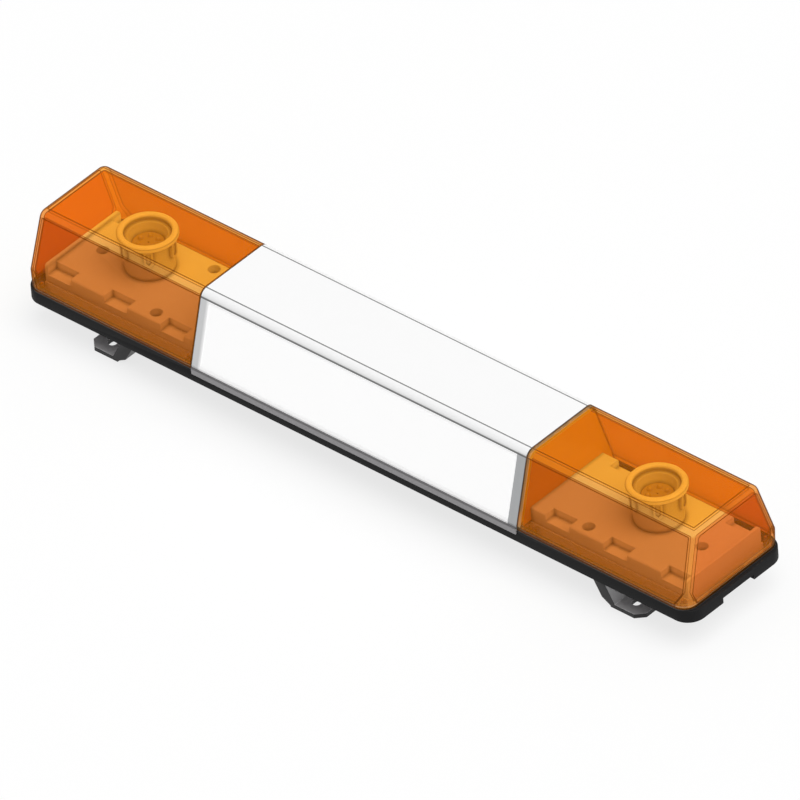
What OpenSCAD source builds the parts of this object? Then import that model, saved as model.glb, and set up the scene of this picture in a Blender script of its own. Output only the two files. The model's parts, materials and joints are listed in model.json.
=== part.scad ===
// Two-lamp amber warning light bar for a vehicle roof.
// +X runs along the bar, +Z is up, and the origin is on the floor under the middle of the bar.
// Sizes are in millimetres.

/* [Bar] */
// Overall length of the base tray
bar_len = 1200; // [1100:10:1300]
// Overall width of the base tray
bar_w = 196; // [188:1:206]
// Length of the white centre section between the two seams
centre_len = 584; // [540:1:600]
// Height of the tray's outer wall
tray_h = 19.5; // [18:0.5:24]
// Thickness of the tray's side wall
tray_wall = 4; // [3.5:0.1:5]
// Thickness of the tray's floor
tray_floor = 3; // [2.5:0.1:4]
// Thickness of the tray's end wall, which also carries the end of the lens
end_wall = 10; // [9:0.5:12]
// Radius of the tray's corners in plan
tray_corner_r = 27; // [20:1:32]

/* [Channel] */
// Width of the channel along the underside
channel_w = 63; // [56:1:70]
// Depth of the channel along the underside
channel_d = 9; // [8:0.5:11]
// Width of the bolt slot in the roof of the channel
key_slot_w = 9; // [9:0.5:10]
// Outside width of the keyway rail
rail_w = 34; // [32:1:38]
// Height of the keyway rail
rail_h = 13; // [12:0.5:15]
// Wall of the keyway rail
rail_wall = 2.5; // [2:0.1:2.6]
// Gap between the seam and the keyway rail
rail_seam_gap = 12; // [8:1:16]
// Gap between the keyway rail and the pillar of the outer deck screw
rail_end_gap = 8; // [5:1:12]

/* [Lens and cover section] */
// Height of the lens and cover top above the tray's underside
top_rise = 135.4; // [128:0.2:142]
// Width of the top face, measured to the sharp corners
top_w = 132; // [122:1:140]
// Height of the upright band at the foot of the lens
band_h = 7; // [5:0.5:9]
// Radius along the long top edges
top_fillet = 14; // [12:0.5:16]
// Wall of the amber lens
lens_wall = 3.5; // [3:0.1:4]
// Distance from the end of the tray to the foot of the lens
lens_end_gap = 6; // [5:0.5:7]
// How far the top of the lens end leans in
lens_end_lean = 5; // [2:0.5:8]
// Radius of the lens's leaning corners and top end edge
lens_edge_r = 9; // [7:0.5:10]
// Radius of the lens's corners at the foot
lens_corner_r = 23; // [18:1:25]
// Height at which the leaning corner meets the rounder foot, above the tray's underside
corner_kink = 48; // [40:1:60]
// Thickness of the rubber under the lens
seal_t = 1.5; // [1:0.1:2]
// Width of the rubber under the lens
seal_w = 3.5; // [3:0.1:4]
// Thickness of the rubber in each seam
seam_t = 1.2; // [1:0.1:1.6]
// Width of the rubber in each seam
seam_w = 6; // [5:0.5:8]

/* [Centre section] */
// Wall of the centre cover
cover_wall = 3.2; // [3:0.1:4]
// Gap between the seam and the end of a blank sign panel
panel_end_gap = 16; // [12:1:30]
// Thickness of the sign panels
panel_t = 1.2; // [1:0.1:1.5]
// Height of the lower edge of a sign panel above the tray's underside
panel_low = 32; // [31:0.5:38]
// Height of a skirt strip
skirt_h = 11; // [10:0.5:12]
// Thickness of a skirt strip
skirt_t = 2.5; // [2:0.1:3]
// Height of the lower edge of a skirt strip above the tray's underside
skirt_low = 14; // [13.5:0.5:15]
// Height of the sign light's upright above the channel hump
sign_h = 50; // [40:1:60]
// Gap between the seam and the end of the sign light
sign_end_gap = 30; // [24:1:50]
// Spacing of the sign light's diodes
sign_pitch = 40; // [30:1:60]

/* [Lamp deck] */
// Height of the deck's top above the tray's underside
deck_rise = 48; // [46:0.5:52]
// Gap between the deck's foot and the screw pillars beside it
deck_side_gap = 2.5; // [0.5:0.5:4]
// Gap between the lens's inboard wall and the deck
deck_start_gap = 1; // [0.5:0.5:4]
// Gap between the foot of the lens and the deck's outer end
deck_end_gap = 17; // [8:0.5:20]
// Wall of the deck moulding
deck_wall = 3; // [2.5:0.1:3.5]
// How far the deck's foot stands out past its top
deck_step = 2.5; // [2:0.1:2.8]
// Length of each edge pocket
pocket_len = 42; // [34:1:44]
// Depth of each edge pocket in from the edge
pocket_in = 18; // [12:0.5:20]
// Depth of each edge pocket below the deck's top
pocket_deep = 12; // [7:0.5:13]
// Distance from the seam to the middle of the first pocket
pocket_first = 54; // [50:0.5:58]
// Distance from the deck's outer end to the middle of the last pocket
pocket_last = 26; // [26:0.5:34]
// Radius of the wells that hold the deck screws
well_r = 9; // [7:0.5:9]
// Depth of the screw wells
well_deep = 14; // [12:0.5:15]
// How far the inner deck screws stand inboard of the middle between two pockets
deck_screw_back = 9; // [0:0.5:12]
// Distance from the deck's long edge to the inner deck screws
deck_screw_edge = 15.5; // [13:0.5:20]
// Distance from the end of the tray to the outer deck screw
deck_screw_end = 62; // [54:1:62]
// Height of the lip along the deck's outer end
lip_h = 5; // [3:0.5:8]
// Thickness of the lip along the deck's outer end
lip_t = 4.5; // [4:0.5:5]

/* [Lamp] */
// How far a lamp stands outwards from the middle of its dome, before the offset below
lamp_out = 14; // [6:1:18]
// How far both lamps stand towards -X
lamp_shift = 6; // [0:1:8]
// How far both lamps stand towards +Y
lamp_side = 13; // [0:1:16]
// Height of a lamp above the deck
lamp_h = 62; // [58:0.5:66]
// Outside radius at the foot of the lamp cup
cup_foot_r = 35; // [32:0.5:36]
// Outside radius at the top of the lamp cup
cup_top_r = 37.5; // [36:0.5:39]
// Wall of the lamp cup
cup_wall = 3; // [2.5:0.1:3.5]
// Height of the bowl's underside above the deck
cup_floor_h = 36; // [32:0.5:38]
// Radius of the mouth of the bowl inside the cup
bowl_top_r = 27.5; // [26:0.5:30]
// Radius of the bowl's floor
bowl_floor_r = 22.5; // [18:0.5:23]
// Radius of the rounds on the rim
rim_r = 3.2; // [2.8:0.1:4]
// Width of the flat on top of the rim
rim_flat = 2.5; // [1:0.5:4]
// Outside radius of the collar under the rim
collar_r = 43; // [41:0.5:44]
// Thickness of the collar under the rim
collar_t = 5; // [3:0.5:6]
// Number of clips round a lamp
clip_count = 6; // [4:1:6]
// Direction of the first clip, in degrees from +X
clip_first = 12; // [0:1:45]
// Height of a clip
clip_h = 28; // [20:0.5:32]
// Width of a clip
clip_w = 13; // [9:0.5:15]
// Thickness of the lamp's circuit board
board_t = 1.6; // [1:0.1:2]
// Radius of a lamp diode
diode_r = 4; // [3:0.5:5]

/* [Mounting foot] */
// Height of the tray's underside above the floor
foot_h = 46; // [42:1:56]
// Distance from the end of the tray to the slots in a foot
foot_from_end = 129; // [124:1:134]
// Distance from the slots to the flange's free edge
foot_edge = 26; // [20:1:30]
// Length of the foot across the bar
foot_w = 172; // [164:1:180]
// Thickness of the rubber pad
pad_t = 2; // [1.5:0.1:3]
// Thickness of the foot's flange
flange_t = 5.3; // [5:0.1:8]
// Length of the flange from the foot of the web to its free edge
flange_len = 46; // [42:1:50]
// Thickness of the inclined web, measured level
web_t = 21; // [16:0.5:22]
// Angle of the web above the floor
web_angle = 60; // [55:1:68]
// Cut across the flange's two free corners
flange_cut = 12; // [6:0.5:14]
// Width of a bolt slot in the flange
foot_slot_w = 13; // [9:0.5:14]
// Length of a bolt slot in the flange
foot_slot_len = 18; // [15:0.5:20]
// Spacing of the two bolt slots
foot_slot_pitch = 124; // [116:1:128]
// Length of the tongue that fills the channel
tongue_len = 58; // [56:1:64]
// Spacing of the two clamp bolts in a foot
clamp_pitch = 30; // [26:1:31]
// Thickness of the clamp nut plate
nut_t = 6; // [5:0.1:6.5]

/* [Fixings] */
// Distance from the tray's edge to the lens and cover screws
edge_screw_in = 13.5; // [13:0.1:14]
// Distance from the seam to the lens screws beside it, and to the cover screws
seam_screw = 18; // [15:0.5:22]
// Distance from the end of the tray to the lens screws there
end_screw = 25; // [24:0.5:30]
// Radius of the tray's screw pillars
pillar_r = 5; // [4.8:0.1:5.1]
// Radius of a screw's thread
screw_r = 2; // [1.75:0.05:2]
// Radius of a screw's head
screw_head_r = 3.6; // [3:0.1:3.8]
// Height of a screw's head
screw_head_h = 2.6; // [2:0.1:3]
// Radius of a clamp bolt
bolt_r = 4; // [3:0.1:4]
// Height of a clamp bolt's head
bolt_head_h = 5.3; // [4:0.1:5.3]
// Width of a clamp bolt's head across its flats
bolt_flats = 13; // [10:0.5:13]

/* [Control box, wiring and cable entry] */
// Length of the control box
box_len = 120; // [100:1:140]
// Width of the control box
box_w = 45; // [40:1:48]
// Height of the control box without its lid
box_h = 26; // [22:1:34]
// Wall of the control box
box_wall = 2.5; // [2:0.1:3]
// Distance from the centre line to the near side of the control box
box_y = 38; // [37:0.5:42]
// Radius of the internal cable
wire_r = 3.2; // [2.5:0.1:3.5]
// Bend radius of the internal cable
wire_bend = 12; // [10:0.5:14]
// Distance from the centre line to the internal cable
wire_y = 45; // [44:0.5:46]
// Distance from the middle of the bar to the cable entry
gland_x = 150; // [130:1:170]
// Distance from the centre line to the cable entry
gland_y = 60; // [56:1:66]
// Radius of the hole in the cable entry
gland_bore_r = 3.5; // [2.5:0.1:4.5]
// Radius of the cable entry's thread
gland_r = 8; // [7.5:0.5:9]
// Width of the cable entry across its flats
gland_flats = 22; // [21:0.5:25]
// How far the cable entry stands below the tray
gland_drop = 18; // [14:0.5:24]

/* [Clearances] */
// Running gap between a sliding foot and the bar
slide_gap = 0.3; // [0.3:0.05:0.5]
// Fitting gap round a screw in its clearance hole
hole_gap = 0.3; // [0.2:0.05:0.4]

/* [Hidden] */

$fn = 48;
EPS = 0.01;
hull_fn = 32;
half_len = bar_len / 2;
half_w = bar_w / 2;
seam_x = centre_len / 2;

// Heights above the floor
z_tray = foot_h;
z_floor = z_tray + tray_floor;
z_hump = z_tray + channel_d + tray_floor;
z_rim = z_tray + tray_h;
z_lens = z_rim + seal_t;
z_kink = z_lens + band_h;
z_top = z_tray + top_rise;
z_deck = z_tray + deck_rise;

// Lens and cover section
lean = atan((half_w - top_w / 2) / (z_top - z_kink));
lens_foot_x = half_len - lens_end_gap;
lens_start = seam_x + seam_t / 2;
cover_half = seam_x - seam_t / 2;
panel_half = seam_x - panel_end_gap;

// Tray inside
inner_end = half_len - end_wall;
inner_half_w = half_w - tray_wall;
bulkhead_t = lens_wall + 2;
edge_screw_y = half_w - edge_screw_in;
hump_half = channel_w / 2 + tray_floor;
wire_hole = 20;

// Deck
deck_half = edge_screw_y - pillar_r - deck_side_gap - deck_step;
deck_screw_y = deck_half - deck_screw_edge;
deck_start = lens_start + lens_wall + deck_start_gap;
deck_end = lens_foot_x - deck_end_gap;
ledge_rise = 24;
z_ledge = z_tray + ledge_rise;
well_floor = 2.5;
z_well = z_deck - well_deep;
z_pillar = z_well - well_floor;
deck_pillar_r = pillar_r + 1;
pocket_start = seam_x + pocket_first;
pocket_pitch = (deck_end - pocket_last - pocket_start) / 2;
deck_screw_in = pocket_start + pocket_pitch / 2 - deck_screw_back;
deck_screw_out = half_len - deck_screw_end;
deck_screw_spots = [[deck_screw_in, deck_screw_y], [deck_screw_in, -deck_screw_y], [deck_screw_out, 0]];

// Keyway rail
rail_start = seam_x + rail_seam_gap;
rail_end = deck_screw_out - deck_pillar_r - rail_end_gap;

// Foot
tongue_w = channel_w - 2 * slide_gap;
z_web = z_tray - slide_gap;
z_flange = pad_t + flange_t;
foot_x = half_len - foot_from_end;
flange_out = foot_x + foot_edge;
flange_in = flange_out - flange_len;
web_foot_cut = 8;
bolt_corner_r = bolt_flats / 2 / cos(30);
web_run = (z_web - z_flange) / tan(web_angle);
web_corner = 3;
bolt_gap = 3;
bolt_first = flange_in - web_t - web_run - bolt_corner_r - bolt_gap;
tongue_start = flange_in - web_run - web_t - tongue_len;
clamp_x = [bolt_first, bolt_first - clamp_pitch];
nut_w = rail_w - 2 * rail_wall - 2 * slide_gap;
nut_margin = 10;
z_nut = z_hump + rail_wall + slide_gap;
head_gap = 0.2;
z_bolt_head = z_web + head_gap;
slot_margin = 12;

// Lamp
lamp_x = (seam_x + lens_foot_x) / 2 + lamp_out;
z_cup_top = z_deck + lamp_h - rim_r - collar_t;
bowl_wall = 1.8;
z_board = z_deck + cup_floor_h + cup_wall;

// Control box
z_lid = z_floor + box_h;
box_screw_in = 5;
rib_count = 9;
rib_end = 15;
rib_in = 4;
rib_t = 2;
rib_h = 4;

// ---------- outlines ----------

// Half width of the leaning side at height z, moved inwards by inset
function side_at(z, inset) = top_w / 2 + (z_top - z) * tan(lean) - inset / cos(lean);

// A point on the leaning side at height z, moved outwards by out
function on_side(z, out) = [side_at(z, 0) + out * cos(lean), z + out * sin(lean)];

// The shared cross-section of lens and cover, moved inwards by inset and cut off at height low
module bar_section(inset, low) {
  r = top_fillet - inset;
  top = z_top - inset;
  c = [side_at(top - r, inset) - r / cos(lean), top - r];
  // The side's upper end is drawn in by a hair, so that it crosses the arc and doesn't just graze it
  side = [c[0] + (r - 0.02) * cos(lean), c[1] + (r - 0.02) * sin(lean)];
  foot = [half_w - inset, z_kink - inset * tan(lean / 2)];
  polygon([[-foot[0], low], [foot[0], low], foot, side, [c[0], top],
           [-c[0], top], [-side[0], side[1]], [-foot[0], foot[1]]]);
  for (s = [-1, 1]) translate([s * c[0], c[1]]) circle(r);
}

// Extrudes a cross-section along X between two places
module along_x(from, to) {
  translate([from, 0, 0]) rotate([90, 0, 90]) linear_extrude(to - from) children();
}

// A rectangle with round corners, centred on the origin
module round_plan(half_x, half_y, r) {
  square([2 * (half_x - r), 2 * half_y], center = true);
  square([2 * half_x, 2 * (half_y - r)], center = true);
  for (sx = [-1, 1], sy = [-1, 1]) translate([sx * (half_x - r), sy * (half_y - r)]) circle(r);
}

// The left-hand copy of a right-hand piece
module on_left() {
  mirror([1, 0, 0]) children();
}

// A pan-head screw that stands on its head at the origin and points up
module screw(length) {
  cylinder(r = screw_head_r, h = screw_head_h);
  translate([0, 0, screw_head_h - EPS]) cylinder(r = screw_r, h = length + EPS);
}

// ---------- base ----------

lens_screw_x = [seam_x + seam_screw, half_len - end_screw];
cover_screw_x = seam_x - seam_screw;
edge_screw_xs = [cover_screw_x, lens_screw_x[0], lens_screw_x[1]];
recess_h = 6;
z_edge_head = z_tray + recess_h - screw_head_h;
groove_low = skirt_low + 1.5;
groove_h = 2.2;
groove_d = 1.5;

module tray_shell() {
  difference() {
    translate([0, 0, z_tray]) linear_extrude(tray_h) round_plan(half_len, half_w, tray_corner_r);
    translate([0, 0, z_floor]) linear_extrude(tray_h)
      round_plan(inner_end, inner_half_w, tray_corner_r - end_wall);
  }
  translate([-inner_end - EPS, -hump_half, z_tray])
    cube([2 * inner_end + 2 * EPS, 2 * hump_half, channel_d + tray_floor]);
}

module tray_pillars() {
  for (sx = [-1, 1]) {
    for (x = edge_screw_xs, sy = [-1, 1])
      translate([sx * x, sy * edge_screw_y, z_tray]) cylinder(r = pillar_r, h = tray_h);
    for (p = deck_screw_spots)
      translate([sx * p[0], p[1], z_tray + EPS]) cylinder(r = deck_pillar_r, h = z_pillar - z_tray - EPS);
    translate([sx * (lens_start + lens_wall / 2) - bulkhead_t / 2, -inner_half_w - EPS, z_tray + EPS])
      cube([bulkhead_t, 2 * inner_half_w + 2 * EPS, tray_h - EPS]);
  }
}

// The slot through the channel's roof that the clamp bolts slide in
module key_slot(sx) {
  for (x = [rail_start + slot_margin + bolt_r, rail_end - slot_margin - bolt_r])
    translate([sx * x, 0, z_tray]) cylinder(r = key_slot_w / 2, h = 2 * channel_d);
  translate([sx * (rail_start + rail_end) / 2, 0, z_tray + channel_d])
    cube([rail_end - rail_start - 2 * slot_margin - 2 * bolt_r, key_slot_w, 4 * tray_floor], center = true);
}

module tray_cuts() {
  translate([-half_len - 1, -channel_w / 2, z_tray - 1]) cube([bar_len + 2, channel_w, channel_d + 1]);
  for (sx = [-1, 1]) {
    for (x = edge_screw_xs, sy = [-1, 1]) translate([sx * x, sy * edge_screw_y, z_tray - 1]) {
      cylinder(r = screw_r + hole_gap, h = tray_h + 2);
      cylinder(r = screw_head_r + hole_gap, h = recess_h + 1);
    }
    for (p = deck_screw_spots) translate([sx * p[0], p[1], z_pillar - 12]) cylinder(r = screw_r, h = 13);
    key_slot(sx);
    translate([sx * (seam_x - wire_hole / 2), wire_y, z_floor + wire_r]) rotate([0, sx * 90, 0])
      cylinder(r = wire_r + hole_gap, h = wire_hole);
    translate([-cover_half, sx * half_w - (sx > 0 ? groove_d : 0), z_tray + groove_low])
      cube([2 * cover_half, groove_d, groove_h]);
  }
  translate([-gland_x, -gland_y, z_tray - 1]) cylinder(r = gland_r + hole_gap, h = tray_floor + 2);
}

module whole_base() {
  difference() {
    union() {
      tray_shell();
      tray_pillars();
    }
    tray_cuts();
  }
}

// The front half of the base, from the wall of the channel outwards
module base_front() {
  color([0.17, 0.17, 0.17]) intersection() {
    whole_base();
    translate([-half_len - 1, -channel_w / 2 - half_w, z_tray - 1]) cube([bar_len + 2, half_w, z_deck]);
  }
}

// The rear half of the base
module base_rear() {
  color([0.17, 0.17, 0.17]) intersection() {
    whole_base();
    translate([-half_len - 1, channel_w / 2, z_tray - 1]) cube([bar_len + 2, half_w, z_deck]);
  }
}

// The length between the halves, which is the roof of the channel
module base_spine() {
  z_roof = z_tray + channel_d;
  above = tray_h - channel_d;
  color([0.17, 0.17, 0.17]) difference() {
    union() {
      translate([-half_len, -channel_w / 2, z_roof]) cube([bar_len, channel_w, tray_floor]);
      for (sx = [-1, 1]) {
        translate([sx * (half_len - end_wall / 2) - end_wall / 2, -channel_w / 2, z_roof])
          cube([end_wall, channel_w, above]);
        translate([sx * (lens_start + lens_wall / 2) - bulkhead_t / 2, -channel_w / 2, z_roof])
          cube([bulkhead_t, channel_w, above]);
        translate([sx * deck_screw_out, 0, z_roof + EPS]) cylinder(r = deck_pillar_r, h = z_pillar - z_roof - EPS);
      }
    }
    for (sx = [-1, 1]) {
      translate([sx * deck_screw_out, 0, z_pillar - 12]) cylinder(r = screw_r, h = 13);
      key_slot(sx);
    }
  }
}

module keyway_rail() {
  color("silver") along_x(rail_start, rail_end) difference() {
    translate([-rail_w / 2, z_hump]) square([rail_w, rail_h]);
    translate([-rail_w / 2 + rail_wall, z_hump + rail_wall])
      square([rail_w - 2 * rail_wall, rail_h - 2 * rail_wall]);
    translate([-key_slot_w / 2, z_hump - 1]) square([key_slot_w, rail_wall + 2]);
  }
}

// ---------- deck ----------

pocket_end = pocket_start + 2 * pocket_pitch;
pocket_spots = [[pocket_start, -1], [pocket_start + pocket_pitch, -1], [pocket_end, -1],
  [pocket_start, 1], [pocket_end, 1]];

// The pockets along both edges, grown by a wall on the inside for the shell round them
module pockets(grow) {
  for (p = pocket_spots) {
    low = z_deck - pocket_deep - grow;
    near = deck_half - pocket_in - grow;
    translate([p[0] - pocket_len / 2 - grow, p[1] > 0 ? near : -deck_half - 5, low])
      cube([pocket_len + 2 * grow, pocket_in + grow + 5, pocket_deep + grow + 1]);
  }
}

module deck(lamp_at) {
  foot_half = deck_half + deck_step;
  color([0.93, 0.93, 0.9]) difference() {
    union() {
      difference() {
        union() {
          translate([deck_start, -deck_half, z_floor]) cube([deck_end - deck_start, 2 * deck_half, z_deck - z_floor]);
          translate([deck_start, -foot_half, z_floor]) cube([deck_end - deck_start, 2 * foot_half, z_ledge - z_floor]);
          translate([deck_end - lip_t, -deck_half, z_deck - EPS]) cube([lip_t, 2 * deck_half, lip_h + EPS]);
        }
        difference() {
          union() {
            translate([deck_start + deck_wall, -deck_half + deck_wall, z_floor - 1])
              cube([deck_end - deck_start - 2 * deck_wall, 2 * deck_half - 2 * deck_wall,
                deck_rise - tray_floor - deck_wall + 1]);
            translate([deck_start + deck_wall, -foot_half + deck_wall, z_floor - 1])
              cube([deck_end - deck_start - 2 * deck_wall, 2 * foot_half - 2 * deck_wall, z_ledge - deck_wall - z_floor + 1]);
          }
          pockets(deck_wall);
        }
        pockets(0);
      }
      for (p = deck_screw_spots) translate([p[0], p[1], z_pillar]) cylinder(r = well_r + 2, h = z_deck - z_pillar - 1);
    }
    for (p = deck_screw_spots) translate([p[0], p[1], 0]) {
      translate([0, 0, z_well]) cylinder(r = well_r, h = well_deep + 1);
      translate([0, 0, z_pillar - 1]) cylinder(r = screw_r + hole_gap, h = well_floor + 2);
    }
    translate([lamp_at, lamp_side, z_deck - deck_wall - 1]) cylinder(r = cup_foot_r - 2 * cup_wall, h = deck_wall + 2);
    // The end walls stand clear of the channel hump and of the cable
    translate([deck_start - 1, -hump_half - 0.5, z_floor - 1])
      cube([deck_end - deck_start + 2, 2 * hump_half + 1, z_hump - z_floor + 1.2]);
    translate([deck_start - 1, wire_y, z_floor + wire_r]) rotate([0, 90, 0])
      cylinder(r = wire_r + hole_gap, h = deck_wall + 2);
    translate([deck_start - 1, wire_y - wire_r - hole_gap, z_floor - 1])
      cube([deck_wall + 2, 2 * (wire_r + hole_gap), wire_r + 1]);
  }
}

module deck_screws() {
  color("silver") for (p = deck_screw_spots)
    translate([p[0], p[1], z_well + screw_head_h]) mirror([0, 0, 1]) screw(well_floor + 11);
}

// ---------- lamp ----------

module lamp_cup() {
  h = z_cup_top - z_deck;
  floor_top = cup_floor_h + cup_wall;
  color([0.88, 0.86, 0.8]) translate([0, lamp_side, z_deck]) difference() {
    rotate_extrude() polygon([[cup_foot_r, 0], [cup_top_r, h], [bowl_top_r, h],
      [bowl_floor_r, floor_top], [0, floor_top], [0, cup_floor_h],
      [bowl_floor_r + bowl_wall, cup_floor_h], [bowl_top_r + bowl_wall, h - cup_wall],
      [cup_top_r - cup_wall, h - cup_wall], [cup_foot_r - cup_wall, 0]]);
    translate([0, 0, cup_floor_h - 1]) cylinder(r = wire_r + hole_gap, h = cup_wall + 2);
  }
}

module lamp_ring() {
  rim_set_back = 0.9;
  rim_out = collar_r - rim_set_back - rim_r;
  rim_in = rim_out - rim_flat;
  neck_in = rim_in - rim_r + 0.4;
  foot_edge_r = 1.2;
  color([0.9, 0.88, 0.82]) translate([0, lamp_side, z_cup_top]) rotate_extrude() {
    translate([neck_in, 0]) square([collar_r - foot_edge_r - neck_in, collar_t]);
    translate([collar_r - foot_edge_r - 1, foot_edge_r]) square([foot_edge_r + 1, collar_t - foot_edge_r]);
    translate([collar_r - foot_edge_r, foot_edge_r]) circle(foot_edge_r);
    translate([rim_out, collar_t]) circle(rim_r);
    translate([rim_in, collar_t]) circle(rim_r);
    translate([rim_in, 0]) square([rim_flat, collar_t + rim_r]);
  }
}

// One pointed clip under the collar, standing on the side of the cup
module lamp_clip() {
  clip_out = cup_top_r + 4;
  panel_deep = 1.8;
  border = 3;
  difference() {
    translate([cup_foot_r - 2, 0, 0]) clip_plate(clip_w / 2, clip_h, 0, clip_out - cup_foot_r + 2);
    translate([clip_out - panel_deep, 0, 0])
      clip_plate(clip_w / 2 - border, clip_h - 2 * border, border, panel_deep + 1);
    translate([0, 0, z_deck - z_cup_top]) cylinder(r1 = cup_foot_r, r2 = cup_top_r, h = z_cup_top - z_deck);
  }
}

// A plate that hangs from height -top to a point at height -low
module clip_plate(half, low, top, thick) {
  rotate([90, 0, 90]) linear_extrude(thick)
    polygon([[-half, -top], [-half, -low + half], [0, -low], [half, -low + half], [half, -top]]);
}

module lamp_clips() {
  color("silver") translate([0, lamp_side, z_cup_top])
    for (i = [0:clip_count - 1]) rotate([0, 0, clip_first + i * 360 / clip_count]) lamp_clip();
}

module lamp_board() {
  color([0.12, 0.16, 0.13]) translate([0, lamp_side, z_board]) difference() {
    cylinder(r = bowl_floor_r - 0.3, h = board_t);
    translate([0, 0, -1]) cylinder(r = 1.5, h = board_t + 2);
  }
}

module lamp_diodes() {
  ring_r = bowl_floor_r * 0.62;
  color([0.95, 0.8, 0.3]) translate([0, lamp_side, z_board + board_t]) for (i = [0:5])
    rotate([0, 0, i * 60]) translate([ring_r, 0, 0]) {
      cylinder(r = diode_r, h = 1.5);
      difference() {
        translate([0, 0, 1.5]) sphere(r = diode_r - 0.6);
        translate([-diode_r, -diode_r, -2 * diode_r]) cube([2 * diode_r, 2 * diode_r, 2 * diode_r]);
      }
    }
}

module at_right_lamp() {
  translate([lamp_x - lamp_shift, 0, 0]) children();
}

module at_left_lamp() {
  translate([-lamp_x - lamp_shift, 0, 0]) children();
}

// ---------- lens ----------

// Where the lens end stands at height z, moved inwards by inset
function end_at(z, inset) = lens_foot_x - inset - lens_end_lean * max(0, z - z_kink) / (z_top - z_kink);

// A solid lens moved inwards by inset, from height low up
module lens_form(inset, low) {
  r = lens_edge_r - inset / 2;
  foot_r = lens_corner_r - inset;
  hull() {
    along_x(lens_start + inset, lens_start + inset + 1) bar_section(inset, low, $fn = hull_fn);
    for (s = [-1, 1]) {
      for (z = [z_top - inset - r, z_tray + corner_kink])
        translate([end_at(z, inset) - r, s * (side_at(z, inset) - r / cos(lean)), z]) sphere(r, $fn = hull_fn);
      translate([lens_foot_x - inset - foot_r, s * (half_w - inset - foot_r), low])
        cylinder(r = foot_r, h = z_kink - low, $fn = hull_fn);
    }
  }
}

// Screw bosses inside the foot of a lens or cover, each with a rib to the wall
module edge_boss() {
  boss_h = band_h + 6;
  translate([0, edge_screw_y, z_lens]) cylinder(r = pillar_r - 0.5, h = boss_h);
  translate([-1.5, edge_screw_y, z_lens]) cube([3, edge_screw_in - 2.5, boss_h - 1]);
}

module edge_boss_hole(low) {
  translate([0, edge_screw_y, low - 1]) cylinder(r = screw_r, h = band_h + 5);
}

module lens() {
  color([1, 0.5, 0.05, 0.55]) difference() {
    union() {
      difference() {
        lens_form(0, z_lens);
        lens_form(lens_wall, z_lens - 1);
      }
      for (x = lens_screw_x, s = [0, 1]) translate([x, 0, 0]) mirror([0, s, 0]) edge_boss();
    }
    for (x = lens_screw_x, s = [0, 1]) translate([x, 0, 0]) mirror([0, s, 0]) edge_boss_hole(z_lens);
  }
}

// Plan of the lens foot, moved inwards by inset
module lens_plan(inset) {
  r = lens_corner_r - inset;
  far = lens_foot_x - inset;
  near = lens_start + inset;
  y = half_w - inset;
  translate([near, -y]) square([far - r - near, 2 * y]);
  translate([far - r - 1, -y + r]) square([r + 1, 2 * (y - r)]);
  for (s = [-1, 1]) translate([far - r, s * (y - r)]) circle(r);
}

module lens_seal() {
  color([0.1, 0.1, 0.1]) translate([0, 0, z_rim]) linear_extrude(seal_t) difference() {
    lens_plan(0);
    lens_plan(seal_w);
  }
}

module edge_screws(xs) {
  color("silver") for (x = xs, s = [-1, 1]) translate([x, s * edge_screw_y, z_edge_head])
    screw(z_lens + band_h - z_edge_head - screw_head_h);
}

module seam_seal() {
  color([0.12, 0.12, 0.12]) along_x(cover_half, lens_start) difference() {
    bar_section(0.3, z_lens);
    bar_section(seam_w, z_lens - 1);
  }
}

// ---------- centre ----------

// Cross-section of a blank sign panel in the recess of the leaning side
module panel_section(depth) {
  high = z_top - top_fillet;
  polygon([on_side(z_tray + panel_low, 0), on_side(high, 0), on_side(high, -depth),
           on_side(z_tray + panel_low, -depth)]);
}

module centre_cover() {
  boss_low = z_rim;
  color("white") difference() {
    union() {
      along_x(-cover_half, cover_half) difference() {
        bar_section(0, z_rim);
        bar_section(cover_wall, z_rim - 1);
      }
      for (sx = [-1, 1], s = [0, 1]) translate([sx * cover_screw_x, 0, boss_low - z_lens])
        mirror([0, s, 0]) edge_boss();
    }
    for (sx = [-1, 1], s = [0, 1]) translate([sx * cover_screw_x, 0, 0])
      mirror([0, s, 0]) edge_boss_hole(z_rim);
    for (s = [0, 1]) mirror([0, s, 0]) along_x(-panel_half - hole_gap, panel_half + hole_gap) hull() {
      panel_section(panel_t);
      translate([1, 0.3]) panel_section(panel_t);
    }
  }
}

module sign_panel() {
  color([0.97, 0.97, 0.97]) along_x(-panel_half, panel_half) panel_section(panel_t);
}

// A trim strip that closes the joint between cover and tray, with a rib in the tray's groove
module skirt() {
  color([0.6, 0.6, 0.61]) along_x(-cover_half, cover_half) {
    translate([half_w, z_tray + skirt_low]) square([skirt_t, skirt_h]);
    translate([half_w - groove_d + 0.1, z_tray + groove_low + 0.1]) square([groove_d, groove_h - 0.2]);
  }
}

sign_half = seam_x - sign_end_gap;
sign_foot = 14;
sign_t = 3;
strip_h = 12;
z_strip = z_hump + sign_h - strip_h - 4;

module sign_light_rail() {
  color("silver") along_x(-sign_half, sign_half) {
    translate([-sign_foot, z_hump]) square([2 * sign_foot, sign_t]);
    translate([-sign_t / 2, z_hump]) square([sign_t, sign_h]);
  }
}

module sign_strip() {
  count = floor((2 * sign_half - 10) / sign_pitch);
  color([0.9, 0.9, 0.85]) {
    translate([-sign_half + 2, sign_t / 2, z_strip]) cube([2 * sign_half - 4, board_t, strip_h]);
    for (i = [0:count - 1]) translate([(i - (count - 1) / 2) * sign_pitch, sign_t / 2 + board_t, z_strip + strip_h / 2])
      rotate([-90, 0, 0]) cylinder(r = 2.5, h = 1.4);
  }
}

// ---------- control box and wiring ----------

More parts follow.
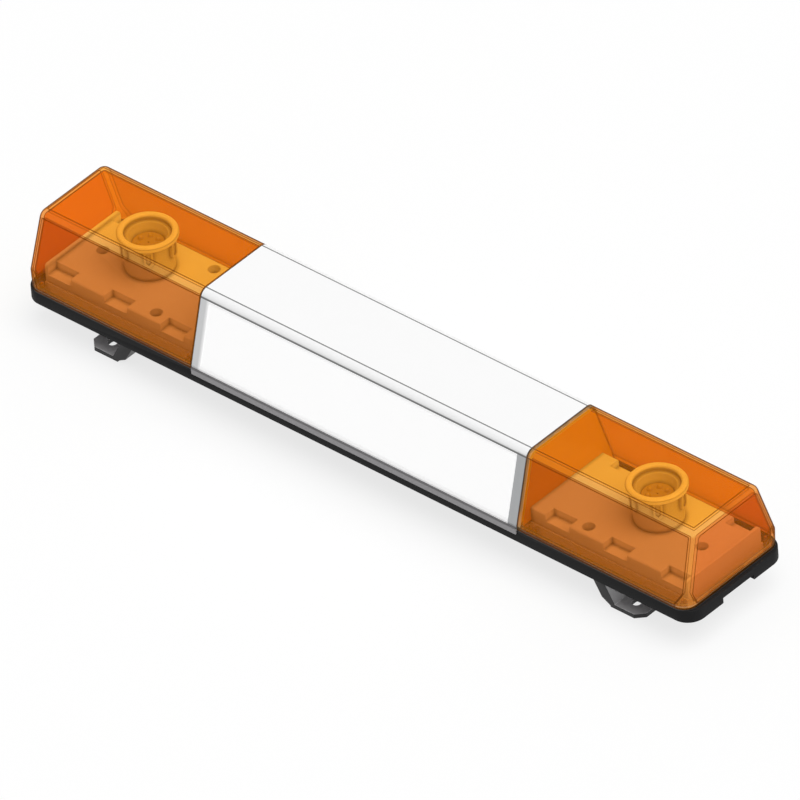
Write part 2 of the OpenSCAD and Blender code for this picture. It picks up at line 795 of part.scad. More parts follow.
box_screw_spots = [for (sx = [-1, 1], sy = [0, 1])
  [sx * (box_len / 2 - box_screw_in), box_y + box_screw_in + sy * (box_w - 2 * box_screw_in)]];

module control_case() {
  color([0.2, 0.2, 0.21]) difference() {
    union() {
      difference() {
        translate([-box_len / 2, box_y, z_floor]) cube([box_len, box_w, box_h]);
        translate([-box_len / 2 + box_wall, box_y + box_wall, z_floor + box_wall])
          cube([box_len - 2 * box_wall, box_w - 2 * box_wall, box_h]);
      }
      for (p = box_screw_spots) translate([p[0], p[1], z_floor + EPS]) cylinder(r = 4, h = box_h - EPS);
    }
    for (p = box_screw_spots) translate([p[0], p[1], z_lid - 10]) cylinder(r = screw_r, h = 11);
  }
}

module control_board() {
  low = z_floor + box_wall;
  post_h = box_h / 5;
  part_h = box_h / 2;
  end_gap = box_len / 10;
  color([0.1, 0.35, 0.2]) {
    for (s = [-1, 1]) translate([s * box_len / 4, box_y + box_w / 2, low]) cylinder(r = box_w / 15, h = post_h);
    translate([-box_len / 2 + end_gap, box_y + box_wall + 1, low + post_h - EPS])
      cube([box_len - 2 * end_gap, box_w - 2 * box_wall - 2, board_t]);
    for (s = [-1, 0, 1]) translate([s * box_len / 5, box_y + box_w / 2, low + post_h])
      cylinder(r = box_w / 9, h = part_h);
  }
}

module control_lid() {
  rib_run = box_len - 2 * rib_end;
  rib_pitch = rib_run / (rib_count - 1);
  color([0.25, 0.25, 0.26]) difference() {
    union() {
      translate([-box_len / 2, box_y, z_lid]) cube([box_len, box_w, box_wall]);
      for (i = [0:rib_count - 1])
        translate([-rib_run / 2 + i * rib_pitch - rib_t / 2, box_y + rib_in, z_lid + box_wall - EPS])
          cube([rib_t, box_w - 2 * rib_in, rib_h]);
    }
    for (p = box_screw_spots) translate([p[0], p[1], z_lid - 1]) cylinder(r = screw_r + hole_gap, h = box_wall + 2);
  }
}

module control_screws() {
  color("silver") for (p = box_screw_spots)
    translate([p[0], p[1], z_lid + box_wall + screw_head_h]) mirror([0, 0, 1]) screw(box_wall + 7);
}

// A quarter bend of the cable round the point c, from the direction u to the direction v
module bend(c, u, v) {
  w = cross(u, v);
  multmatrix([[u[0], v[0], w[0], c[0]], [u[1], v[1], w[1], c[1]], [u[2], v[2], w[2], c[2]]])
    rotate_extrude(angle = 90) translate([wire_bend, 0]) circle(wire_r);
}

// The cable of one lamp: down out of the cup, over the rail, down to the floor and along it
module wiring(lamp_at, towards) {
  b = wire_bend;
  top = z_deck + cup_floor_h;
  z_over = z_hump + rail_h + 8;
  z_low = z_floor + wire_r;
  color([0.15, 0.15, 0.16]) {
    translate([lamp_at, lamp_side, z_over + b]) cylinder(r = wire_r, h = top - z_over - b);
    bend([lamp_at, lamp_side + b, z_over + b], [0, -1, 0], [0, 0, -1]);
    translate([lamp_at, lamp_side + b, z_over]) rotate([-90, 0, 0])
      cylinder(r = wire_r, h = wire_y - lamp_side - 2 * b);
    bend([lamp_at, wire_y - b, z_over - b], [0, 0, 1], [0, 1, 0]);
    translate([lamp_at, wire_y, z_low + b]) cylinder(r = wire_r, h = z_over - z_low - 2 * b);
    bend([lamp_at + towards * b, wire_y, z_low + b], [-towards, 0, 0], [0, 0, -1]);
    translate([lamp_at + towards * b, wire_y, z_low]) rotate([0, towards * 90, 0])
      cylinder(r = wire_r, h = abs(lamp_at) - b - box_len / 2);
  }
}

module gland_body() {
  color([0.1, 0.1, 0.1]) translate([-gland_x, -gland_y, 0]) difference() {
    union() {
      translate([0, 0, z_tray - 6]) cylinder(r = gland_flats / 2 / cos(30), h = 6, $fn = 6);
      translate([0, 0, z_tray - gland_drop]) cylinder(r1 = gland_r - 1, r2 = gland_r + 1, h = gland_drop - 5);
      translate([0, 0, z_tray - 1]) cylinder(r = gland_r, h = tray_floor + 11);
    }
    translate([0, 0, z_tray - gland_drop - 1]) cylinder(r = gland_bore_r, h = gland_drop + tray_floor + 20);
    translate([0, 0, z_tray]) cylinder(r = gland_r - 1.8, h = tray_floor + 20);
  }
}

module gland_grommet() {
  color([0.15, 0.15, 0.15]) translate([-gland_x, -gland_y, z_tray]) difference() {
    cylinder(r = gland_r - 1.8, h = tray_floor + 8);
    translate([0, 0, -1]) cylinder(r = gland_bore_r, h = tray_floor + 20);
  }
}

module gland_nut() {
  color([0.12, 0.12, 0.12]) translate([-gland_x, -gland_y, z_floor]) difference() {
    cylinder(r = gland_flats / 2 / cos(30), h = 6, $fn = 6);
    translate([0, 0, -1]) cylinder(r = gland_r, h = 8);
  }
}

// ---------- feet ----------

module foot_slots(low, high, grow) {
  run = (foot_slot_len - foot_slot_w) / 2;
  for (s = [-1, 1]) translate([foot_x, s * foot_slot_pitch / 2, low]) {
    for (e = [-1, 1]) translate([0, e * run, 0]) cylinder(r = foot_slot_w / 2 + grow, h = high - low);
    translate([-foot_slot_w / 2 - grow, -run, 0]) cube([foot_slot_w + 2 * grow, 2 * run, high - low]);
  }
}

module flange_corner_cuts(high) {
  for (s = [-1, 1]) translate([flange_out, s * foot_w / 2, -1]) rotate([0, 0, 45])
    cube([flange_cut * sqrt(2), flange_cut * sqrt(2), 2 * high], center = true);
}

module foot() {
  web_low = z_flange + web_corner;
  color([0.36, 0.36, 0.37]) difference() {
    union() {
      translate([0, foot_w / 2, 0]) rotate([90, 0, 0]) linear_extrude(foot_w) polygon([
        [flange_out, pad_t], [flange_out, z_flange], [flange_in, z_flange], [flange_in - web_run, z_web],
        [flange_in - web_run - web_t, z_web], [flange_in - web_t - web_corner / tan(web_angle), web_low],
        [flange_in - web_foot_cut, pad_t]]);
      translate([tongue_start, -tongue_w / 2, z_web])
        cube([flange_in - web_run - tongue_start, tongue_w, channel_d]);
    }
    foot_slots(pad_t - 1, z_flange + 1, 0);
    flange_corner_cuts(z_flange + 3);
    for (x = clamp_x) translate([x, 0, z_web - 1]) {
      cylinder(r = bolt_r + hole_gap, h = channel_d + 2);
      cylinder(r = bolt_corner_r + hole_gap, h = bolt_head_h + head_gap + 1);
    }
  }
}

module foot_pad() {
  pad_in = flange_in - web_foot_cut;
  color([0.08, 0.08, 0.08]) difference() {
    translate([pad_in, -foot_w / 2, 0]) cube([flange_out - pad_in, foot_w, pad_t]);
    foot_slots(-1, pad_t + 1, 0.5);
    flange_corner_cuts(z_flange + 3);
  }
}

module clamp_bolts() {
  color("silver") for (x = clamp_x) translate([x, 0, z_bolt_head]) {
    cylinder(r = bolt_corner_r, h = bolt_head_h, $fn = 6);
    translate([0, 0, bolt_head_h - EPS]) cylinder(r = bolt_r, h = z_nut + nut_t + 0.6 - z_bolt_head - bolt_head_h);
  }
}

module clamp_nut() {
  low_x = bolt_first - clamp_pitch - nut_margin;
  color("gray") difference() {
    translate([low_x, -nut_w / 2, z_nut]) cube([clamp_pitch + 2 * nut_margin, nut_w, nut_t]);
    for (x = clamp_x) translate([x, 0, z_nut - 1]) cylinder(r = bolt_r, h = nut_t + 2);
  }
}

// ---------- the assembly ----------

base_front();
base_rear();
base_spine();
on_left() keyway_rail();  // keyway_rail_left
keyway_rail();  // keyway_rail_right
on_left() deck(lamp_x + lamp_shift);  // deck_left
deck(lamp_x - lamp_shift);  // deck_right
on_left() deck_screws();  // deck_screws_left
deck_screws();  // deck_screws_right
at_left_lamp() lamp_cup();  // lamp_cup_left
at_right_lamp() lamp_cup();  // lamp_cup_right
at_left_lamp() lamp_ring();  // lamp_ring_left
at_right_lamp() lamp_ring();  // lamp_ring_right
at_left_lamp() lamp_clips();  // lamp_clips_left
at_right_lamp() lamp_clips();  // lamp_clips_right
at_left_lamp() lamp_board();  // lamp_board_left
at_right_lamp() lamp_board();  // lamp_board_right
at_left_lamp() lamp_diodes();  // lamp_diodes_left
at_right_lamp() lamp_diodes();  // lamp_diodes_right
on_left() lens();  // lens_left
lens();  // lens_right
on_left() lens_seal();  // lens_seal_left
lens_seal();  // lens_seal_right
on_left() edge_screws(lens_screw_x);  // lens_screws_left
edge_screws(lens_screw_x);  // lens_screws_right
on_left() seam_seal();  // seam_seal_left
seam_seal();  // seam_seal_right
centre_cover();
edge_screws([-cover_screw_x, cover_screw_x]);  // cover_screws
mirror([0, 1, 0]) sign_panel();  // front_panel
sign_panel();  // rear_panel
mirror([0, 1, 0]) skirt();  // front_skirt
skirt();  // rear_skirt
sign_light_rail();
mirror([0, 1, 0]) sign_strip();  // sign_strip_front
sign_strip();  // sign_strip_rear
control_case();
control_board();
control_lid();
control_screws();
wiring(-lamp_x - lamp_shift, 1);  // wiring_left
wiring(lamp_x - lamp_shift, -1);  // wiring_right
gland_body();
gland_nut();
gland_grommet();
on_left() foot();  // foot_left
foot();  // foot_right
on_left() foot_pad();  // foot_pad_left
foot_pad();  // foot_pad_right
on_left() clamp_bolts();  // clamp_bolts_left
clamp_bolts();  // clamp_bolts_right
on_left() clamp_nut();  // clamp_nut_left
clamp_nut();  // clamp_nut_right
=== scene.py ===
# %% [markdown]
# # A two-lamp warning light bar for a vehicle roof
#
# The bar is a black base, a white sign section in its middle and an amber lens over a lamp at each end.
# Its measured solids come in first as a fixed frame. This lesson then dresses them: new meshes where light
# shows the shape of an edge, and a finish made of nodes for everything.

# %% Load the measured solids
import json
import math

import bmesh
import bpy
from mathutils import Matrix, Vector


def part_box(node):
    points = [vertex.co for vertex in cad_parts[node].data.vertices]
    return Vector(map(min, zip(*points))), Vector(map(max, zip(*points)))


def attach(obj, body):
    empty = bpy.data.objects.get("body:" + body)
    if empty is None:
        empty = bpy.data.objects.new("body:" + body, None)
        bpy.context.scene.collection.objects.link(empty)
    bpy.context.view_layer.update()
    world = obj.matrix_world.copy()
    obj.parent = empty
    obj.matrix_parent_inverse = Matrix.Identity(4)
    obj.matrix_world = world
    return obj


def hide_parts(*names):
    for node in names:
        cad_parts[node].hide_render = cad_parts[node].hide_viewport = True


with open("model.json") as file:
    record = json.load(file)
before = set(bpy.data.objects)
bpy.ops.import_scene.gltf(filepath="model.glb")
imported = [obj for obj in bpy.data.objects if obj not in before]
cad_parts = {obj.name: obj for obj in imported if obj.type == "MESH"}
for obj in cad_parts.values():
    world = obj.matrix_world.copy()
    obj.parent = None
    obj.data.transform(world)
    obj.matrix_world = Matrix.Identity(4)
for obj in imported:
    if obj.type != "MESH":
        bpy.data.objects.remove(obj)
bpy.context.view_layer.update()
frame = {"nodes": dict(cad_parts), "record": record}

MM = 0.001
NODES = frame["nodes"]

# %% [markdown]
# ## The camera
#
# A long lens from far away flattens the picture, as a drawing office's view does: lines that are parallel on
# the bar stay parallel in the picture. The camera looks at the bar from the front right and from above. It is
# also rolled a little, so that the bar's uprights lean to the left. There are no cords outside this bar.

# %% Camera
AZIMUTH, ELEVATION, ROLL = (math.radians(d) for d in (44.26, 38.06, 4.69))
VIEW_WIDTH = 1.0768
FOCAL, SENSOR = 1500.0, 36.0
AIM_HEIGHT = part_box("base_front")[0].z
AIM_RIGHT, AIM_UP = -3.7 * MM, 33.8 * MM

level = Vector((math.cos(AZIMUTH), math.sin(AZIMUTH), 0))
outward = math.cos(ELEVATION)
back = Vector((math.sin(AZIMUTH) * outward, -math.cos(AZIMUTH) * outward, math.sin(ELEVATION)))
upright = back.cross(level)
cam_right = level * math.cos(ROLL) - upright * math.sin(ROLL)
cam_up = level * math.sin(ROLL) + upright * math.cos(ROLL)
aim = Vector((0, 0, AIM_HEIGHT)) + cam_right * AIM_RIGHT + cam_up * AIM_UP

camera = bpy.data.objects.new("camera", bpy.data.cameras.new("camera"))
camera.data.lens, camera.data.sensor_width = FOCAL, SENSOR
distance = VIEW_WIDTH * FOCAL / SENSOR
turn = Matrix((cam_right, cam_up, back)).transposed().to_4x4()
camera.matrix_world = Matrix.Translation(aim + back * distance) @ turn
camera.data.clip_start, camera.data.clip_end = 1.0, 2 * distance
bpy.context.scene.collection.objects.link(camera)
bpy.context.scene.camera = camera
print("camera stands", round(distance, 1), "m away")

# %% [markdown]
# ## Helpers for nodes
#
# A material is a small graph. These helpers add a node with its settings in one line and make a node group
# with named sockets, so that each finish below reads as a short recipe.


# %% Node helpers
def add(tree, kind, links=None, **settings):
    """Adds a node, sets what it is given and feeds its inputs from values or from other sockets."""
    made = tree.nodes.new(kind)
    for key, value in settings.items():
        setattr(made, key, value)
    for key, value in (links or {}).items():
        if isinstance(value, bpy.types.NodeSocket):
            tree.links.new(value, made.inputs[key])
        else:
            made.inputs[key].default_value = value
    return made


def math_node(tree, operation, a, b=0.0, clamp=False):
    return add(tree, "ShaderNodeMath", {0: a, 1: b}, operation=operation, use_clamp=clamp).outputs[0]


def without(tree, value, mask):
    """The value where mask is 0, and nothing where it is 1."""
    return math_node(tree, "MULTIPLY", value, math_node(tree, "SUBTRACT", 1.0, mask))


def ramp(tree, value, start, end, top=1.0):
    """0 where the value is at start, top where it is at end, and clamped outside. start may be the larger."""
    return add(tree, "ShaderNodeMapRange", {0: value, 1: start, 2: end, 4: top}).outputs[0]


def blend(tree, share, first, second):
    """The first colour where share is 0 and the second where it is 1."""
    return add(tree, "ShaderNodeMix", {0: share, 6: first, 7: second}, data_type="RGBA").outputs[2]


def axis_of(tree, vector, axis):
    return add(tree, "ShaderNodeSeparateXYZ", {0: vector}).outputs[axis]


def surface_normal(tree):
    return add(tree, "ShaderNodeNewGeometry").outputs["Normal"]


def place_on_object(tree):
    return add(tree, "ShaderNodeTexCoord").outputs["Object"]


def new_group(name, inputs, outputs):
    """A shader node group with its sockets, and its input and output nodes."""
    group = bpy.data.node_groups.new(name, "ShaderNodeTree")
    for label, kind, value in inputs:
        socket = group.interface.new_socket(name=label, in_out="INPUT", socket_type="NodeSocket" + kind)
        if value is not None:
            socket.default_value = value
    for label, kind in outputs:
        group.interface.new_socket(name=label, in_out="OUTPUT", socket_type="NodeSocket" + kind)
    return group, group.nodes.new("NodeGroupInput").outputs, group.nodes.new("NodeGroupOutput").inputs


# %% [markdown]
# ## Shared effects
#
# Five effects come back in the finishes. Moulded grain is the fine texture of a spark-eroded mould. Drift
# is the slow change of shade over a moulding. Dust lies on faces that look up. Rub is the paler line that
# handling leaves along an edge: a bevelled normal differs from the real one only there, so their dot
# product finds it. Hollow shade is painted shade: the corners and grooves that light hardly reaches are
# painted darker.

# %% Grain and drift
GREY, MOTTLE_SCALE = (0.5, 0.5, 0.5, 1), 14.0
grain, g_in, g_out = new_group(
    "moulded_grain",
    [("Vector", "Vector", None), ("Scale", "Float", 900.0)],
    [("Height", "Float"), ("Mottle", "Float")],
)
place = g_in["Vector"]
fine = add(grain, "ShaderNodeTexNoise",
           {"Vector": place, "Scale": g_in["Scale"], "Detail": 3.0, "Roughness": 0.5})
broad = add(grain, "ShaderNodeTexNoise",
            {"Vector": place, "Scale": MOTTLE_SCALE, "Detail": 4.0, "Roughness": 0.6})
grain.links.new(fine.outputs["Fac"], g_out["Height"])
grain.links.new(broad.outputs["Fac"], g_out["Mottle"])

drift, d_in, d_out = new_group(
    "colour_drift",
    [("Color", "Color", GREY), ("Mottle", "Float", 0.5), ("Amount", "Float", 0.1)],
    [("Color", "Color")],
)
swing = math_node(drift, "MULTIPLY", math_node(drift, "SUBTRACT", d_in["Mottle"], 0.5), d_in["Amount"])
bright = math_node(drift, "ADD", swing, 1.0)
shade = add(drift, "ShaderNodeVectorMath", {0: d_in["Color"], "Scale": bright}, operation="SCALE")
drift.links.new(shade.outputs[0], d_out["Color"])
print("groups:", [g.name for g in bpy.data.node_groups])

# %% Dust
DUST_COLOUR = (0.45, 0.42, 0.38, 1)
dust, u_in, u_out = new_group(
    "settled_dust",
    [("Color", "Color", GREY), ("Dust", "Color", DUST_COLOUR),
     ("Mottle", "Float", 0.5), ("Amount", "Float", 0.1)],
    [("Color", "Color")],
)
looks_up = math_node(dust, "MAXIMUM", axis_of(dust, surface_normal(dust), "Z"), 0.0)
settled = math_node(dust, "MULTIPLY", looks_up, u_in["Mottle"])
settled = math_node(dust, "MULTIPLY", settled, u_in["Amount"], clamp=True)
dust.links.new(blend(dust, settled, u_in["Color"], u_in["Dust"]), u_out["Color"])
print("dust:", len(dust.nodes), "nodes")

# %% Rub and painted hollow shade
RUB_WIDTH, RUB_GAIN, HOLLOW_SHADE_REACH = 0.8 * MM, 4.0, 7 * MM
rub, r_in, r_out = new_group(
    "edge_rub",
    [("Color", "Color", GREY), ("Rubbed", "Color", GREY), ("Mottle", "Float", 0.5), ("Amount", "Float", 0.5)],
    [("Color", "Color")],
)
round_normal = add(rub, "ShaderNodeBevel", {"Radius": RUB_WIDTH}, samples=4).outputs[0]
same = add(rub, "ShaderNodeVectorMath", {0: round_normal, 1: surface_normal(rub)}, operation="DOT_PRODUCT")
turned_away = math_node(rub, "SUBTRACT", 1.0, same.outputs["Value"])
edge = math_node(rub, "MULTIPLY", turned_away, RUB_GAIN, clamp=True)
patchy = math_node(rub, "MULTIPLY", edge, r_in["Mottle"])
worn = math_node(rub, "MULTIPLY", patchy, r_in["Amount"], clamp=True)
rub.links.new(blend(rub, worn, r_in["Color"], r_in["Rubbed"]), r_out["Color"])

hollow_shade_group, h_in, h_out = new_group(
    "painted_hollow_shade",
    [("Color", "Color", GREY), ("Strength", "Float", 1.0)],
    [("Color", "Color")],
)
# Painted shade: where ambient occlusion finds a corner or groove, the colour is darkened.
open_sky = add(hollow_shade_group, "ShaderNodeAmbientOcclusion", {"Distance": HOLLOW_SHADE_REACH}, samples=8).outputs["AO"]
left_over = math_node(hollow_shade_group, "POWER", open_sky, h_in["Strength"])
hollow_shaded_colour = add(hollow_shade_group, "ShaderNodeVectorMath", {0: h_in["Color"], "Scale": left_over}, operation="SCALE")
hollow_shade_group.links.new(hollow_shaded_colour.outputs[0], h_out["Color"])
print("rub:", len(rub.nodes), "nodes; hollows:", len(hollow_shade_group.nodes), "nodes")

# %% [markdown]
# ## Finishes
#
# Every finish is one Principled shader. The groups feed only what changes over the surface: its colour, its
# roughness and its bump. What is the same everywhere is set on the shader itself.


# %% The recipe
GRAIN_DEPTH = 0.1 * MM


def group_node(tree, group, links):
    return add(tree, "ShaderNodeGroup", links, node_tree=group)


def finish(name, colour, roughness, grain_scale, depth, amount,
           dusted=0.0, rubbed_to=None, hollow=0.0, spread=0.08, **sockets):
    """A moulded, painted or plated finish. amount is the drift of shade and spread that of roughness."""
    material = bpy.data.materials.new(name)
    material.use_nodes = True
    tree = material.node_tree
    shader = tree.nodes["Principled BSDF"]
    texture = group_node(tree, grain, {"Vector": place_on_object(tree), "Scale": grain_scale})
    mottle = texture.outputs["Mottle"]
    drifted = group_node(tree, drift, {"Color": (*colour, 1), "Mottle": mottle, "Amount": amount})
    shown = drifted.outputs["Color"]
    if rubbed_to:
        handled = group_node(tree, rub, {"Color": shown, "Rubbed": (*rubbed_to, 1), "Mottle": mottle})
        shown = handled.outputs["Color"]
    if dusted:
        shown = group_node(tree, dust, {"Color": shown, "Mottle": mottle, "Amount": dusted}).outputs["Color"]
    # Painted shade in corners and grooves.
    if hollow:
        shown = group_node(tree, hollow_shade_group, {"Color": shown, "Strength": hollow}).outputs["Color"]
    tree.links.new(shown, shader.inputs["Base Color"])
    uneven = math_node(tree, "MULTIPLY", math_node(tree, "SUBTRACT", mottle, 0.5), spread)
    tree.links.new(math_node(tree, "ADD", uneven, roughness, clamp=True), shader.inputs["Roughness"])
    height = texture.outputs["Height"]
    bump = add(tree, "ShaderNodeBump", {"Height": height, "Strength": depth, "Distance": GRAIN_DEPTH})
    tree.links.new(bump.outputs["Normal"], shader.inputs["Normal"])
    for key, value in sockets.items():
        shader.inputs[key.replace("_", " ")].default_value = value
    return material


def colour_so_far(shader):
    """The socket that feeds a finish's colour, for a material that paints more over it."""
    return shader.inputs["Base Color"].links[0].from_socket


# %% Plain finishes
# Each row gives a colour, its roughness, the grain's scale, the bump and how far the shade drifts.
PLAIN = {
    "tray_black": ((0.011, 0.011, 0.0115), 0.6, 1400, 0.2, 0.3),
    "aluminium_profile": ((0.62, 0.62, 0.63), 0.35, 300, 0.05, 0.1),
    "deck_plastic": ((0.88, 0.85, 0.80), 0.45, 1200, 0.08, 0.06),
    "zinc_screw": ((0.55, 0.55, 0.53), 0.3, 700, 0.05, 0.15),
    "lamp_housing": ((0.66, 0.61, 0.52), 0.42, 1200, 0.08, 0.06),
    "lamp_rim": ((0.93, 0.88, 0.80), 0.38, 1200, 0.06, 0.05),
    "clip_spring": ((0.64, 0.58, 0.48), 0.4, 1200, 0.06, 0.08),
    "board_dark": ((0.42, 0.30, 0.12), 0.5, 1600, 0.05, 0.2),
    "diode_clear": ((0.48, 0.34, 0.14), 0.25, 900, 0.02, 0.1),
    "seal_rubber": ((0.022, 0.022, 0.022), 0.65, 1600, 0.2, 0.2),
    "cover_white": ((0.97, 0.97, 0.97), 0.35, 1500, 0.04, 0.02),
    "panel_white": ((0.94, 0.94, 0.94), 0.3, 1500, 0.03, 0.02),
    "skirt_grey": ((0.33, 0.32, 0.33), 0.45, 1200, 0.08, 0.08),
    "strip_white": ((0.85, 0.85, 0.82), 0.4, 1200, 0.05, 0.08),
    "box_black": ((0.04, 0.04, 0.042), 0.5, 1300, 0.15, 0.2),
    "board_green": ((0.02, 0.14, 0.06), 0.4, 1600, 0.06, 0.3),
    "box_lid": ((0.10, 0.10, 0.10), 0.4, 500, 0.06, 0.15),
    "cable_black": ((0.028, 0.028, 0.03), 0.55, 1300, 0.1, 0.2),
    "gland_black": ((0.032, 0.032, 0.032), 0.45, 1200, 0.1, 0.2),
    "foot_grey": ((0.022, 0.021, 0.022), 0.42, 800, 0.2, 0.2),
    "pad_rubber": ((0.02, 0.02, 0.02), 0.7, 1400, 0.25, 0.2),
    "zinc_bolt": ((0.5, 0.5, 0.48), 0.32, 600, 0.06, 0.15),
    "steel_plate": ((0.42, 0.42, 0.41), 0.4, 500, 0.06, 0.15),
}
# What only some of them have: dust on top, rub along the edges, painted shade in hollows, or a metallic
# shine.
EXTRAS = {
    "tray_black": {"dusted": 0.012, "rubbed_to": (0.03, 0.03, 0.03), "Specular_IOR_Level": 0.1},
    "foot_grey": {"dusted": 0.05, "rubbed_to": (0.12, 0.12, 0.12), "Specular_IOR_Level": 0.3},
    "box_black": {"dusted": 0.1},
    "deck_plastic": {"hollow": 1.1},
    "lamp_housing": {"hollow": 1.6},
    "lamp_rim": {"hollow": 1.6},
    "clip_spring": {"hollow": 1.6},
    "box_lid": {"Metallic": 0.6},
    "aluminium_profile": {"Metallic": 1.0},
    "zinc_screw": {"Metallic": 1.0},
    "zinc_bolt": {"Metallic": 1.0},
    "steel_plate": {"Metallic": 1.0},
}
FINISHES = {name: finish(name, *row, **EXTRAS.get(name, {})) for name, row in PLAIN.items()}
print("finishes:", len(FINISHES))

# %% [markdown]
# ## Round edges of a clear box
#
# Clear plastic shows its own shape by its round edges. Where a flat wall starts to turn, the light is
# bent away and a thin dark line follows the edge; the round itself gathers light and looks pale. The
# angle between a point's normal and the nearest flat wall of the lens tells where a point lies, so this
# group measures it.

# %% Lens directions
BAND, TOP_HALF, END_LEAN = 7 * MM, 66 * MM, 5 * MM
lens_lo, lens_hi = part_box("lens_right")
foot_half, z_band = lens_hi.y, lens_lo.z + BAND
side_run = (foot_half - TOP_HALF) / (lens_hi.z - z_band)
end_run = END_LEAN / (lens_hi.z - z_band)
FLAT_WALLS = [Vector(v).normalized() for v in (
    (0, 0, 1), (0, 1, side_run), (0, 1, 0), (1, 0, end_run), (1, 0, 0))]
print("lens:", [round(v, 4) for v in (*lens_lo, *lens_hi)])

# %% The group that finds an edge
LINE_ANGLES = math.radians(0.5), math.radians(1.5)
ROUND_ANGLES = math.radians(7.0), math.radians(11.0)
TOP_HEIGHTS = 0.3, 0.97
edge_group, e_in, e_out = new_group(
    "round_edges", [("Normal", "Vector", None)], [("Line", "Float"), ("Round", "Float"), ("Top", "Float")]
)
turned = add(edge_group, "ShaderNodeVectorMath", {0: e_in["Normal"]}, operation="ABSOLUTE").outputs[0]
nearest = 0.0
for direction in FLAT_WALLS:
    near_to = add(edge_group, "ShaderNodeVectorMath", {0: turned, 1: direction}, operation="DOT_PRODUCT")
    nearest = math_node(edge_group, "MAXIMUM", near_to.outputs["Value"], nearest)
angle = math_node(edge_group, "ARCCOSINE", math_node(edge_group, "MINIMUM", nearest, 1.0))
starts, turns = ramp(edge_group, angle, *LINE_ANGLES), ramp(edge_group, angle, *ROUND_ANGLES)
edge_group.links.new(math_node(edge_group, "SUBTRACT", starts, turns, clamp=True), e_out["Line"])
edge_group.links.new(turns, e_out["Round"])
edge_group.links.new(ramp(edge_group, axis_of(edge_group, turned, "Z"), *TOP_HEIGHTS), e_out["Top"])
print("edge group:", len(edge_group.nodes), "nodes")

# %% [markdown]
# ## Amber polycarbonate
#
# The lenses are clear amber plastic. Most light goes through and takes the colour with it. The pigment
# scatters the rest, which gives each wall a body of its own, and at a flat angle the surface shines more
# and lets less through. A thin wall hardly bends light, so a tinted Transparent shader stands for the
# part that goes through. The upright walls are tinted darker than the top as painted shade. A render would
# leave the inside of such a box too dark, because every wall takes its share twice, so rays on their way to
# a lamp or to the sky meet a much paler tint. The inboard wall holds most pigment. A pale line along the
# foot of each lens and a pale band beside the right lens's seam are painted highlights.

# %% Where a point of a lens lies
SQUARE_ON = 0.9
FOOT_HIGHLIGHT_Z, FOOT_HIGHLIGHT_HALF = lens_lo.z + 4.5 * MM, 1.0 * MM
SEAM_HIGHLIGHT_TO, SEAM_EDGE = lens_lo.x + 6 * MM, lens_lo.x + 1.8 * MM
AMBER_BODY = (1.0, 0.31, 0.004)
amber = finish("lens_amber", AMBER_BODY, 0.12, 500, 0.01, 0.05, spread=0.04, Specular_IOR_Level=0.3)
tree = amber.node_tree
spot = add(tree, "ShaderNodeSeparateXYZ", {0: place_on_object(tree)}).outputs
normal = surface_normal(tree)
shape = group_node(tree, edge_group, {"Normal": normal}).outputs
# Painted highlight: a pale line along the foot of each lens, and a pale band beside the right lens's seam.
foot_highlight = math_node(tree, "COMPARE", spot["Z"], FOOT_HIGHLIGHT_Z)
foot_highlight.node.inputs[2].default_value = FOOT_HIGHLIGHT_HALF
from_middle = math_node(tree, "ABSOLUTE", spot["X"])
end_wall = math_node(tree, "GREATER_THAN", math_node(tree, "ABSOLUTE", axis_of(tree, normal, "X")), SQUARE_ON)
by_seam = math_node(tree, "LESS_THAN", from_middle, SEAM_HIGHLIGHT_TO)
inner_wall = math_node(tree, "MULTIPLY", by_seam, end_wall)
on_right = math_node(tree, "GREATER_THAN", spot["X"], 0.0)
seam_highlight = math_node(tree, "MULTIPLY", math_node(tree, "SUBTRACT", by_seam, inner_wall), on_right)
rim = math_node(tree, "MAXIMUM", foot_highlight, seam_highlight)
seam_edge = without(tree, math_node(tree, "LESS_THAN", from_middle, SEAM_EDGE), inner_wall)
print("lens foot line at", round(FOOT_HIGHLIGHT_Z / MM, 1), "mm, seam rim to", round(SEAM_HIGHLIGHT_TO / MM, 1), "mm")

# %% Body and dark lines of the amber
RIM_HIGHLIGHT_COLOUR, INNER_BODY, ROUND_PALE = (1.0, 0.62, 0.27, 1), (0.80, 0.36, 0.006, 1), 0.12
OUTLINE_TURN = 0.5, 0.68
plastic = tree.nodes["Principled BSDF"]
pale = math_node(tree, "MAXIMUM", rim, math_node(tree, "MULTIPLY", shape["Round"], ROUND_PALE))
body_with_highlights = blend(tree, pale, colour_so_far(plastic), RIM_HIGHLIGHT_COLOUR)
tree.links.new(blend(tree, inner_wall, body_with_highlights, INNER_BODY), plastic.inputs["Base Color"])
facing = add(tree, "ShaderNodeLayerWeight", {"Blend": 0.5}).outputs["Facing"]
outline = math_node(tree, "MULTIPLY", ramp(tree, facing, *OUTLINE_TURN), shape["Round"])
dark = math_node(tree, "MAXIMUM", math_node(tree, "MAXIMUM", shape["Line"], outline), seam_edge)
print("amber:", len(tree.nodes), "nodes so far")

# %% Tint of the light that goes through
TOP_TINT, WALL_SHADE_TINT, ROUND_TINT = (1.0, 0.72, 0.27, 1), (0.85, 0.52, 0.28, 1), (1.0, 0.77, 0.42, 1)
END_SHADE_TINT, CORNER_TINT, LINE_TINT = (0.89, 0.49, 0.27, 1), (0.93, 0.61, 0.31, 1), (0.28, 0.11, 0.02, 1)
CORNER_UP_TO = 0.2
# Painted shade: the upright walls and the end walls let through a darker tint than the top.
tint_with_painted_shade = blend(tree, shape["Top"], blend(tree, end_wall, WALL_SHADE_TINT, END_SHADE_TINT), TOP_TINT)
clearest = blend(tree, ramp(tree, shape["Top"], 0.0, CORNER_UP_TO), CORNER_TINT, ROUND_TINT)
round_tint = blend(tree, shape["Round"], tint_with_painted_shade, clearest)
through = add(tree, "ShaderNodeBsdfTransparent", {"Color": blend(tree, dark, round_tint, LINE_TINT)})
print("tinted:", through.name)

